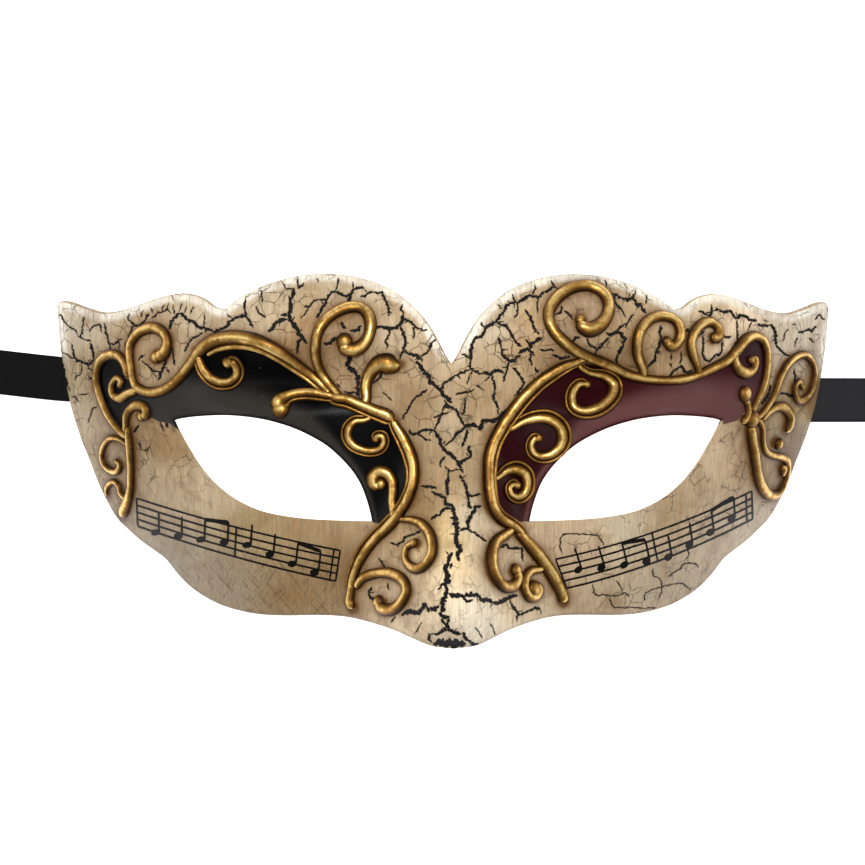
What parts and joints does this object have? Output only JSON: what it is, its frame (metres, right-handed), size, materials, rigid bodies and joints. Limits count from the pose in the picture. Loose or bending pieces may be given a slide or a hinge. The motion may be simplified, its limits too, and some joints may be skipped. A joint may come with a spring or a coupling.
{
  "type": "venetian masquerade half mask",
  "caption": "Moulded half mask with eye holes and a nose, crackled ivory face, raised gold scrollwork, lacquered lids, music staves and two tie ribbons.",
  "frame": {"origin": "middle of the mask's footprint, on the table it lies on face up; the tie ribbons are left out", "axes": "+X toward the right wing as the face is looked at, +Y toward the forehead, +Z out of the face toward the nose tip"},
  "size_m": [0.378, 0.1048, 0.076],
  "materials": {
    "crackled_paper": "ivory crackled paint with brown antique wash, satin varnish",
    "black_lacquer": "gloss black lacquer",
    "wine_lacquer": "gloss wine red lacquer",
    "ink": "printed black ink",
    "gold_relief": "antiqued gold leaf over moulded relief",
    "ribbon": "black satin ribbon",
    "patch_cloth": "black cotton cloth"
  },
  "bodies": {
    "root": {"left_black_lacquer": "black_lacquer", "left_brow_vine": "gold_relief", "left_brow_vine_lower": "gold_relief", "left_corner_curl": "gold_relief", "left_flank_curl": "gold_relief", "left_foot": "gold_relief", "left_forehead_curl": "gold_relief", "left_forehead_leaf": "gold_relief", "left_hanging_curl": "gold_relief", "left_inner_curl": "gold_relief", "left_joint_knob": "gold_relief", "left_lid_leaf": "gold_relief", "left_music_stave": "ink", "left_nose_bar": "gold_relief", "left_nose_vine": "gold_relief", "left_nostril_curl": "gold_relief", "left_ribbon": "ribbon", "left_ribbon_coil": "ribbon", "left_ribbon_patch": "patch_cloth", "left_side_curl": "gold_relief", "left_side_hook": "gold_relief", "left_temple_hook": "gold_relief", "left_temple_spiral": "gold_relief", "left_temple_stem": "gold_relief", "mask_shell": "crackled_paper", "right_brow_curl": "gold_relief", "right_cheek_loop": "gold_relief", "right_drop_knob": "gold_relief", "right_drop_tongue": "gold_relief", "right_flank_loop": "gold_relief", "right_forehead_curl": "gold_relief", "right_inner_spiral": "gold_relief", "right_joint_knob": "gold_relief", "right_lash_curl": "gold_relief", "right_lid_spiral": "gold_relief", "right_main_vine": "gold_relief", "right_music_stave": "ink", "right_nose_spiral": "gold_relief", "right_nostril_curl": "gold_relief", "right_nostril_vine": "gold_relief", "right_ribbon": "ribbon", "right_ribbon_coil": "ribbon", "right_ribbon_patch": "patch_cloth", "right_temple_knob": "gold_relief", "right_temple_leaf": "gold_relief", "right_wine_lacquer": "wine_lacquer", "right_wing_drop": "gold_relief", "right_wing_loop": "gold_relief"}
  },
  "joints": []
}
